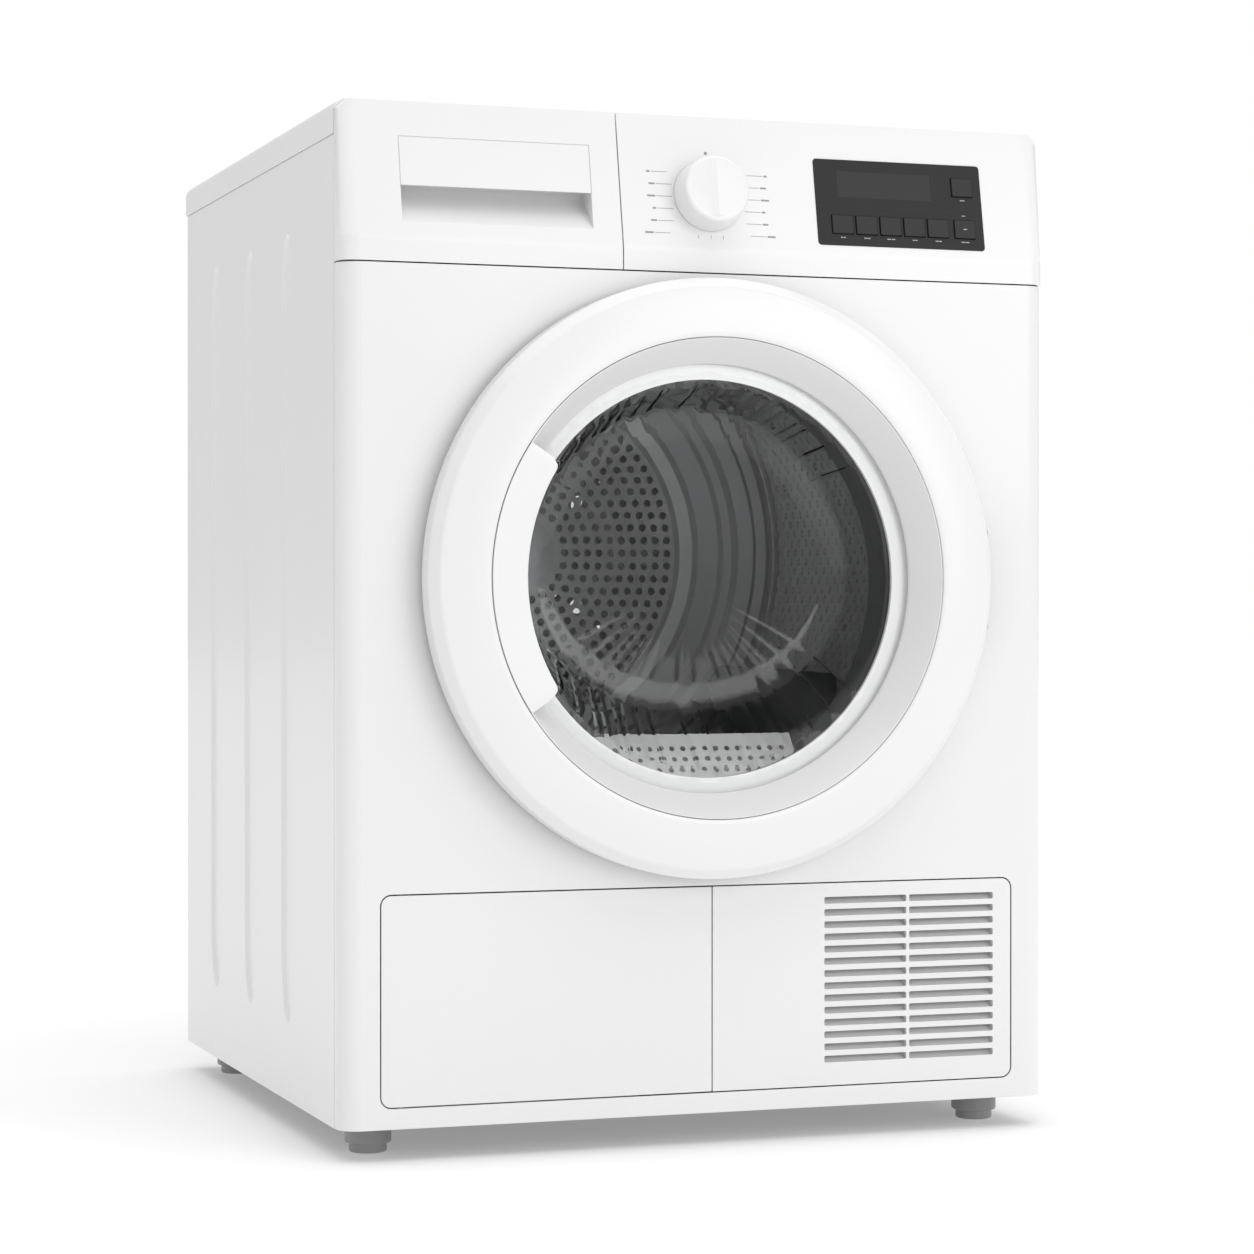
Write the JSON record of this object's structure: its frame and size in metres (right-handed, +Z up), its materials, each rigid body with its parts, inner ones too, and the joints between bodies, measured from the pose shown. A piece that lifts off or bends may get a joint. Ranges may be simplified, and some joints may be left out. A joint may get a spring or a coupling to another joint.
{
  "type": "clothes dryer",
  "caption": "Free-standing front-loading condenser clothes dryer with a round glass door, pull-out water tank, program knob, display keys, service flap and louvred air grille.",
  "frame": {"origin": "bottom centre of the machine's overall box, on the floor", "axes": "+Z up, +Y towards the back, +X to the right seen from the front"},
  "size_m": [0.6, 0.626, 0.82],
  "materials": {
    "white_enamel": "smooth white stoved enamel on steel sheet",
    "white_plastic": "satin white moulded plastic",
    "white_gloss_plastic": "gloss white moulded plastic",
    "black_gloss_plastic": "dark display panel",
    "black_keys": "satin black key caps",
    "clear_glass": "clear pressed glass",
    "galvanised_steel": "galvanised sheet",
    "drum_steel": "stainless steel",
    "machined_steel": "plated steel",
    "grey_plastic": "dark grey moulded plastic",
    "foot_plastic": "mid grey moulded plastic",
    "filter_plastic": "light grey moulded plastic",
    "tank_plastic": "natural translucent plastic",
    "felt": "pressed wool felt",
    "black_rubber": "black rubber",
    "fin_aluminium": "thin aluminium fins",
    "motor_castings": "motor castings and laminations",
    "bearing_bronze": "sintered bronze bush",
    "board_laminate": "green board laminate",
    "inlet_plastic": "black moulded plastic"
  },
  "bodies": {
    "cabinet": {"base_tray": "grey_plastic", "side_panel_left": "white_enamel", "side_panel_right": "white_enamel", "back_panel": "galvanised_steel", "rear_cover": "galvanised_steel", "worktop": "white_plastic", "front_panel": "white_enamel", "kick_grille": "white_plastic", "tank_guide": "grey_plastic", "control_fascia": "white_plastic", "display_panel": "black_gloss_plastic", "control_board": "board_laminate", "hinge_bracket": "machined_steel", "door_catch": "grey_plastic", "front_bulkhead": "grey_plastic", "lint_filter": "filter_plastic", "front_felt": "felt", "rear_felt": "felt", "rear_bulkhead": "galvanised_steel", "rear_bearing": "bearing_bronze", "heat_exchanger": "fin_aluminium", "motor_housing": "motor_castings", "fan_housing": "grey_plastic", "heater": "galvanised_steel", "drive_belt": "black_rubber", "condensate_pump": "grey_plastic", "condensate_hose": "black_rubber", "mains_inlet": "inlet_plastic", "screws": "machined_steel"},
    "door": {"door_ring": "white_gloss_plastic", "door_bezel": "white_gloss_plastic", "door_handle": "white_gloss_plastic", "door_glass": "clear_glass", "door_inner_frame": "white_gloss_plastic", "door_gasket": "black_rubber", "hinge_leaf": "machined_steel"},
    "tank": {"tank_front": "white_plastic", "water_tank": "tank_plastic"},
    "knob": {"program_knob": "white_gloss_plastic"},
    "flap": {"service_flap": "white_plastic"},
    "drum": {"drum_shell": "drum_steel", "drum_rear_wall": "drum_steel", "drum_shaft": "machined_steel", "drum_lifters": "grey_plastic"},
    "rotor": {"motor_rotor": "motor_castings", "cooling_fan": "grey_plastic", "process_fan": "grey_plastic"},
    "tension_arm": {"idler_arm": "machined_steel"},
    "tension_pulley": {"idler_pulley": "grey_plastic"},
    "option_key_1": {"option_key_1": "black_keys"},
    "option_key_2": {"option_key_2": "black_keys"},
    "option_key_3": {"option_key_3": "black_keys"},
    "option_key_4": {"option_key_4": "black_keys"},
    "option_key_5": {"option_key_5": "black_keys"},
    "start_key": {"start_key": "black_keys"},
    "power_key": {"power_key": "black_keys"},
    "foot_front_left": {"foot_front_left": "foot_plastic"},
    "foot_front_right": {"foot_front_right": "foot_plastic"},
    "foot_rear_left": {"foot_rear_left": "foot_plastic"},
    "foot_rear_right": {"foot_rear_right": "foot_plastic"}
  },
  "joints": [
    {"name": "door_hinge", "type": "hinge", "parent": "cabinet", "child": "door", "pos_m": [0.2355, -0.289, 0.45], "axis": [0, 0, 1], "range_deg": [0, 135]},
    {"name": "tank_slide", "type": "slide", "parent": "cabinet", "child": "tank", "axis": [0, -1, 0], "range_m": [0, 0.4]},
    {"name": "knob_turn", "type": "hinge", "parent": "cabinet", "child": "knob", "pos_m": [0.0045, -0.2666, 0.75521], "axis": [0, -0.9824, 0.1867], "continuous": true},
    {"name": "flap_hinge", "type": "hinge", "parent": "cabinet", "child": "flap", "pos_m": [-0.25, -0.267, 0.1235], "axis": [0, 0, -1], "range_deg": [0, 100]},
    {"name": "drum_spin", "type": "hinge", "parent": "cabinet", "child": "drum", "pos_m": [0, 0, 0.48], "axis": [0, 1, 0], "continuous": true},
    {"name": "rotor_spin", "type": "hinge", "parent": "cabinet", "child": "rotor", "pos_m": [0.165, 0, 0.118], "axis": [0, 1, 0], "continuous": true},
    {"name": "tension_tilt", "type": "hinge", "parent": "cabinet", "child": "tension_arm", "pos_m": [0.11, 0.095, 0.052], "axis": [0, -1, 0], "range_deg": [0, 12], "stiffness_Nm_per_rad": 4, "springref_deg": -14.32},
    {"name": "tension_pulley_spin", "type": "hinge", "parent": "tension_arm", "child": "tension_pulley", "pos_m": [0.07166, 0.08, 0.13232], "axis": [0, 1, 0], "continuous": true},
    {"name": "option_key_1_press", "type": "slide", "parent": "cabinet", "child": "option_key_1", "axis": [0, 0.9824, -0.1867], "range_m": [0, 0.0012], "stiffness_N_per_m": 500},
    {"name": "option_key_2_press", "type": "slide", "parent": "cabinet", "child": "option_key_2", "axis": [0, 0.9824, -0.1867], "range_m": [0, 0.0012], "stiffness_N_per_m": 500},
    {"name": "option_key_3_press", "type": "slide", "parent": "cabinet", "child": "option_key_3", "axis": [0, 0.9824, -0.1867], "range_m": [0, 0.0012], "stiffness_N_per_m": 500},
    {"name": "option_key_4_press", "type": "slide", "parent": "cabinet", "child": "option_key_4", "axis": [0, 0.9824, -0.1867], "range_m": [0, 0.0012], "stiffness_N_per_m": 500},
    {"name": "option_key_5_press", "type": "slide", "parent": "cabinet", "child": "option_key_5", "axis": [0, 0.9824, -0.1867], "range_m": [0, 0.0012], "stiffness_N_per_m": 500},
    {"name": "start_key_press", "type": "slide", "parent": "cabinet", "child": "start_key", "axis": [0, 0.9824, -0.1867], "range_m": [0, 0.0012], "stiffness_N_per_m": 500},
    {"name": "power_key_press", "type": "slide", "parent": "cabinet", "child": "power_key", "axis": [0, 0.9824, -0.1867], "range_m": [0, 0.0012], "stiffness_N_per_m": 500},
    {"name": "foot_front_left_turn", "type": "hinge", "parent": "cabinet", "child": "foot_front_left", "pos_m": [-0.262, -0.215, 0], "axis": [0, 0, 1], "continuous": true},
    {"name": "foot_front_right_turn", "type": "hinge", "parent": "cabinet", "child": "foot_front_right", "pos_m": [0.262, -0.215, 0], "axis": [0, 0, 1], "continuous": true},
    {"name": "foot_rear_left_turn", "type": "hinge", "parent": "cabinet", "child": "foot_rear_left", "pos_m": [-0.262, 0.255, 0], "axis": [0, 0, 1], "continuous": true},
    {"name": "foot_rear_right_turn", "type": "hinge", "parent": "cabinet", "child": "foot_rear_right", "pos_m": [0.262, 0.255, 0], "axis": [0, 0, 1], "continuous": true}
  ],
  "couplings": [
    {"joint": "rotor_spin", "follows": "drum_spin", "ratio": 24.75},
    {"joint": "tension_pulley_spin", "follows": "drum_spin", "ratio": -13.268}
  ]
}
